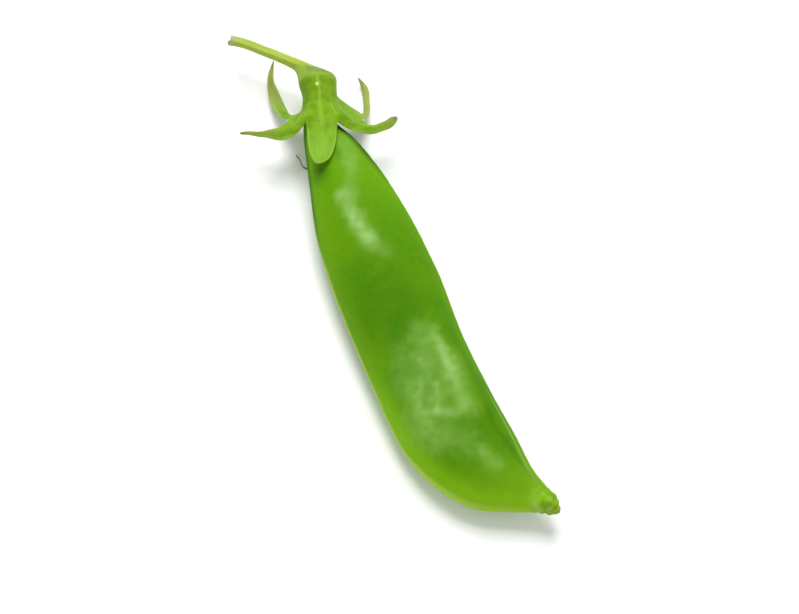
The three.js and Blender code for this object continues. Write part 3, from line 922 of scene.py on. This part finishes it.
rows = np.linspace(0, 1, STALK_ROWS)
outer_edge = through([[p[0], p[1], p[4]] for p in STALK_STATIONS], rows)[:, None]
inner_edge = through([[p[2], p[3], p[4]] for p in STALK_STATIONS], rows)[:, None]
depth = eased([p[5] for p in STALK_STATIONS], rows)[:, None]
turns = np.arange(STALK_SIDES) / STALK_SIDES * 2 * math.pi
stem = (outer_edge + inner_edge) / 2 + (inner_edge - outer_edge) / 2 * np.cos(turns)[None, :, None]
stem[..., 2] += depth * np.sin(turns)
rows = rows[:, None]
slim = smooth(rows, 0.35, 0.65)
ridged = np.cos(turns * STALK_RIDGES + rows * STALK_TWIST)
ridges = STALK_RIDGE_RISE * ridged * (smooth(rows, 0.02, 0.2) * 0.35 + 0.65 * slim)
ridges = ridges + STALK_LUMPS * rough(stem, 1.8, 21)
torn = smooth(rows, 0.93, 1)
ridges = ridges + torn * (0.12 * np.sin(turns * 4 + 1) + 0.1 * rough(stem, 0.35, 22))
stem = stem + outward(stem) * ridges[..., None]
away = stem[-1].mean(0) - stem[-4].mean(0)
away /= np.linalg.norm(away)
ragged = BREAK_RAGGED * rough(stem, 0.5, 23) + 0.2 * np.sin(turns * 2 + 0.6)
stem = stem + away * (smooth(rows, 0.97, 1) * ragged)[..., None]
around, whole = girth(stem)
# Painted shade on one side of the foot.
scuffed = smooth(outward(from_cup(stem)) @ FOOT_SHADE_FACING, 0.4, 0.9) * (1 - smooth(rows, 0.38, 0.6))
scuffed = scuffed * (0.85 + 0.5 * rough(stem, 1.2, 24))
stalk = closed_mesh("stalk_stem", from_cup(stem), AS_IT_RESTS, {
    "share": rows + 0 * around,
    "around": around,
    "along": rows * STALK_LENGTH + 0 * around,
    "ridge": ridged * slim,
    "scuffed": scuffed,
})

# Green stem rind: smooth and faintly satin, yellower and finely streaked along its ridges, darker at
# the swollen foot, with painted shade on one side of the foot, and grey at the break.
STEM_STREAK = 0.4  # mm between the streaks: real fibres are closer and wouldn't show
stem_rind, tree = blank_material("green_stem_rind")
labels = ("share", "around", "along", "ridge", "scuffed")
marks = {label: (add(tree, "Attribute", {}, attribute_name=label), "Fac") for label in labels}
stem_mm = add(tree, "CombineXYZ", {"X": marks["around"], "Y": marks["along"]})
streaked = add(tree, "Mapping", {"Vector": (stem_mm, "Vector"), "Scale": [1.0, 0.15, 1]})
streaks = add(tree, "TexNoise", {"Vector": (streaked, "Vector"), "Scale": 1 / STEM_STREAK, "Detail": 3.0})
rind_green = tinted(tree, linear("#98b02c"), (
    ((streaks, "Fac"), 0.45, 0.7, 0.7, "#a6ba3a"),
    (marks["ridge"], 0.2, 1.0, 0.5, "#b2c63c"),
    (marks["share"], 0.6, 0.3, 0.9, "#80a41e"),
    (marks["share"], 0.3, 0.05, 0.8, "#6f9610"),
    # Painted shade on one side of the foot.
    (marks["scuffed"], 0.0, 1.0, 0.7, "#567008"),
    (marks["share"], 0.95, 1.0, 0.9, "#a6a88c"),
))
bump = add(tree, "Bump", {"Height": (streaks, "Fac"), "Strength": 0.6, "Distance": 0.08 * MM})
body = add(tree, "BsdfPrincipled", {
    "Base Color": rind_green,
    "Roughness": 0.5,
    "IOR": 1.42,
    "Normal": (bump, "Normal"),
    "Subsurface Weight": 0.15,
    "Subsurface Radius": [0.7, 1.0, 0.2],
    "Subsurface Scale": 0.8 * MM,
})
add(tree, "OutputMaterial", {"Surface": (body, "BSDF")})
stalk.data.materials.append(stem_rind)
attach(stalk, "root")
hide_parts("stalk")

# ---- Withered stamen ---------------------------
# One dead stamen of the flower still hangs from the mouth of the cup: a dry, crinkled, tapering thread
# of plant fibre. It stands in the cup's mouth, and its free end hooks back under the pod's neck.

STAMEN = [
    [1.2, 7.4, -2.85],
    [1.2, 11.4, -3.9],
    [1.2, 15.2, -4.6],
    [2.3, 16.4, -4.0],
    [3.9, 14.1, -3.0],
]
STAMEN_RADIUS = 0.22
STAMEN_TAPER = 0.45
STAMEN_FLATNESS = 0.25  # the thread is a little flat, and
STAMEN_TWIST = 9  # its flat sides wind round by this many radians
STAMEN_CRINKLE = 0.07
STAMEN_CRINKLES = 40  # radians of crinkle from end to end
STAMEN_ROWS = 90
STAMEN_SIDES = 14

rows = np.linspace(0, 1, STAMEN_ROWS)
thread = through(STAMEN, rows)
along = np.gradient(thread, axis=0)
along /= np.linalg.norm(along, axis=1)[:, None]
side = np.cross([0, 0, 1], along)
side /= np.linalg.norm(side, axis=1)[:, None]
lift = np.cross(along, side)
turns = np.arange(STAMEN_SIDES) / STAMEN_SIDES * 2 * math.pi
radius = STAMEN_RADIUS * (1 - STAMEN_TAPER * rows)[:, None]
radius = radius * (1 + STAMEN_FLATNESS * np.cos(2 * (turns + rows[:, None] * STAMEN_TWIST)))
fibre = thread[:, None] + side[:, None] * (radius * np.cos(turns))[..., None]
fibre = fibre + lift[:, None] * (radius * np.sin(turns))[..., None]
fibre = fibre + STAMEN_CRINKLE * np.sin(rows * STAMEN_CRINKLES)[:, None, None] * side[:, None]
stamen = closed_mesh("withered_stamen_thread", from_cup(fibre), AS_IT_RESTS, {
    "share": rows[:, None] + 0 * radius,
    "around": turns * STAMEN_RADIUS + 0 * radius,
})

# Dried brown fibre: quite dull, and mottled dark and straw brown along its length.
MOTTLES = 9.0  # along the thread: each is about 1.4 mm long and 0.11 mm wide, as dried fibres are
dry_thread, tree = blank_material("dry_brown_fibre")
labels = ("share", "around")
marks = {label: (add(tree, "Attribute", {}, attribute_name=label), "Fac") for label in labels}
mottle_place = add(tree, "CombineXYZ", {"X": marks["around"], "Y": marks["share"]})
mottles = add(tree, "TexNoise", {"Vector": (mottle_place, "Vector"), "Scale": MOTTLES, "Detail": 3.0})
brown = add(tree, "Mix", {"Factor_Float": (mottles, "Fac"), "A_Color": linear("#4c4838"),
                          "B_Color": linear("#8d8870")}, data_type="RGBA")
bump = add(tree, "Bump", {"Height": (mottles, "Fac"), "Strength": 0.7, "Distance": 0.05 * MM})
body = add(tree, "BsdfPrincipled", {
    "Base Color": (brown, "Result_Color"),
    "Roughness": 0.85,
    "Normal": (bump, "Normal"),
})
add(tree, "OutputMaterial", {"Surface": (body, "BSDF")})
stamen.data.materials.append(dry_thread)
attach(stamen, "root")
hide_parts("withered_stamen")

# ---- Table and light ---------------------------
# A matt white table that curves up all round into a low wall, in a pale room. A small softbox stands
# high beyond the calyx, a wide one over the beak, and a dim low one along each seam's side.

TABLE_FLAT = 0.9  # metres from the middle to where the table starts to curve up
TABLE_CURVE = 0.6  # metres, the curve's radius
TABLE_SIDES = 96
table_profile = [(0.0, 0.0), (0.05, 0.0), (0.4, 0.0), (TABLE_FLAT, 0.0)]
for bend in np.linspace(0, math.pi / 2, 13)[1:]:
    table_profile.append((TABLE_FLAT + TABLE_CURVE * math.sin(bend), TABLE_CURVE * (1 - math.cos(bend))))
table_points = []
for reach, height in table_profile:
    for a in np.linspace(0, 2 * math.pi, TABLE_SIDES, endpoint=False):
        table_points.append((reach * math.cos(a), reach * math.sin(a), height))
here = np.arange(len(table_points)).reshape(-1, TABLE_SIDES)
beside = np.roll(here, -1, 1)
table_faces = np.stack([here[:-1], here[1:], beside[1:], beside[:-1]], 2).reshape(-1, 4)
table_mesh = bpy.data.meshes.new("table")
table_mesh.from_pydata(table_points, [], table_faces.tolist())
table_mesh.polygons.foreach_set("use_smooth", [True] * len(table_mesh.polygons))
table = put("table", table_mesh)

# Matt white card: flat and shadowless but for the soft grey that gathers under the plant.
card, tree = blank_material("matt_white_card")
body = add(tree, "BsdfPrincipled", {
    "Base Color": linear("#fefefe"),
    "Roughness": 0.9,
    "Specular IOR Level": 0.1,
})
add(tree, "OutputMaterial", {"Surface": (body, "BSDF")})
table_mesh.materials.append(card)


def towards(azimuth, elevation):
    """The direction from the plant to a viewer or a light at that azimuth and elevation."""
    a, e = math.radians(azimuth), math.radians(elevation)
    return Vector((math.sin(a) * math.cos(e), -math.cos(a) * math.cos(e), math.sin(e)))


# Each lamp's azimuth and elevation are in degrees, and its distance, width and depth in metres.
for name, azimuth, elevation, distance, width, depth, watts in (
    ("back_softbox", -120, 62, 0.9, 0.42, 0.5, 6.8),
    ("beak_side_softbox", 95, 50, 1.1, 2.1, 1.7, 2.3),
    ("low_left_softbox", -15, 24, 1.0, 1.5, 0.7, 1.0),
    ("low_right_softbox", 170, 24, 1.0, 1.5, 0.7, 0.6),
):
    lamp = bpy.data.lights.new(name, "AREA")
    lamp.shape = "RECTANGLE"
    lamp.size = width
    lamp.size_y = depth
    lamp.energy = watts
    holder = put(name, lamp)
    holder.location = towards(azimuth, elevation) * distance
    holder.rotation_mode = "QUATERNION"
    holder.rotation_quaternion = towards(azimuth, elevation).to_track_quat("Z", "Y")
    holder.visible_camera = False

ROOM_LIGHT = 0.42
room = bpy.data.worlds.new("pale_room")
room.use_nodes = True
room.node_tree.nodes["Background"].inputs["Color"].default_value = (1, 1, 1, 1)
room.node_tree.nodes["Background"].inputs["Strength"].default_value = ROOM_LIGHT
bpy.context.scene.world = room
bpy.context.scene.view_settings.view_transform = "Standard"

# ---- Camera ------------------------------------
# A long lens looks steeply down on the plant from beyond its beak, on the side of the bellied seam.
# The camera stands a little to the right of the plant's middle and below it, which sets the framing.

CAMERA_AZIMUTH = 60.39
CAMERA_ELEVATION = 68
CAMERA_LENS = 90
CAMERA_DISTANCE = 358.8  # mm, as are the next two
CAMERA_RIGHT = 1.74
CAMERA_UP = -5.45
view = towards(CAMERA_AZIMUTH, CAMERA_ELEVATION)
right = Vector((math.cos(math.radians(CAMERA_AZIMUTH)), math.sin(math.radians(CAMERA_AZIMUTH)), 0))
camera = put("camera", bpy.data.cameras.new("camera"))
camera.data.lens = CAMERA_LENS
camera.data.clip_start = 0.01
camera.location = (view * CAMERA_DISTANCE + right * CAMERA_RIGHT + view.cross(right) * CAMERA_UP) * MM
camera.rotation_euler = Matrix((right, view.cross(right), view)).transposed().to_euler()
bpy.context.scene.camera = camera
